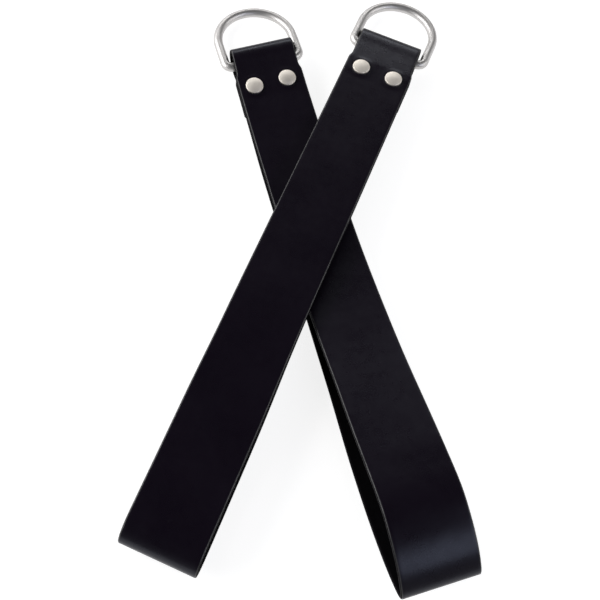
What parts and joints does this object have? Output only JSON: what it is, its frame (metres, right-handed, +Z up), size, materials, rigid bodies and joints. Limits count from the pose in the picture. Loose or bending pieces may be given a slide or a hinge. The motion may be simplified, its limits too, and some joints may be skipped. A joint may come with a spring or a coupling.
{
  "type": "hand grips",
  "caption": "Leather hand grips lying crossed: broad straps looped for the hand, each folded through a nickel D-ring and held by domed rivets, to hang from a hook or clip.",
  "frame": {"origin": "on the surface that the grips lie on, under the middle of their common box", "axes": "+Y runs up the pair towards the D-rings, +X across the pair, +Z up off the surface"},
  "size_m": [0.216, 0.4616, 0.046],
  "materials": {
    "leather": "smooth satin black strap leather with burnished cut edges",
    "ring_nickel": "polished nickel plate on welded steel wire",
    "cap_nickel": "polished nickel plate, slightly warm",
    "rivet_steel": "plain plated steel, hidden inside the leather"
  },
  "bodies": {
    "lower_grip": {"lower_strap": "leather", "lower_left_front_cap": "cap_nickel", "lower_left_socket": "rivet_steel", "lower_left_post": "rivet_steel", "lower_left_back_cap": "cap_nickel", "lower_right_front_cap": "cap_nickel", "lower_right_socket": "rivet_steel", "lower_right_post": "rivet_steel", "lower_right_back_cap": "cap_nickel"},
    "lower_ring": {"lower_d_ring": "ring_nickel"},
    "upper_grip": {"upper_strap": "leather", "upper_left_front_cap": "cap_nickel", "upper_left_socket": "rivet_steel", "upper_left_post": "rivet_steel", "upper_left_back_cap": "cap_nickel", "upper_right_front_cap": "cap_nickel", "upper_right_socket": "rivet_steel", "upper_right_post": "rivet_steel", "upper_right_back_cap": "cap_nickel"},
    "upper_ring": {"upper_d_ring": "ring_nickel"}
  },
  "joints": [
    {"name": "lower_ring_swing", "type": "hinge", "parent": "lower_grip", "child": "lower_ring", "pos_m": [-0.0444, 0.15719, 0.0081], "axis": [0.9475, 0.3198, 0], "range_deg": [-150, 150]},
    {"name": "upper_lift", "type": "slide", "parent": "lower_grip", "child": "upper_grip", "axis": [0, 0, 1], "range_m": [0, 0.12]},
    {"name": "upper_ring_swing", "type": "hinge", "parent": "upper_grip", "child": "upper_ring", "pos_m": [0.04914, 0.17751, 0.00756], "axis": [0.9475, -0.3198, 0], "range_deg": [-150, 150]}
  ]
}
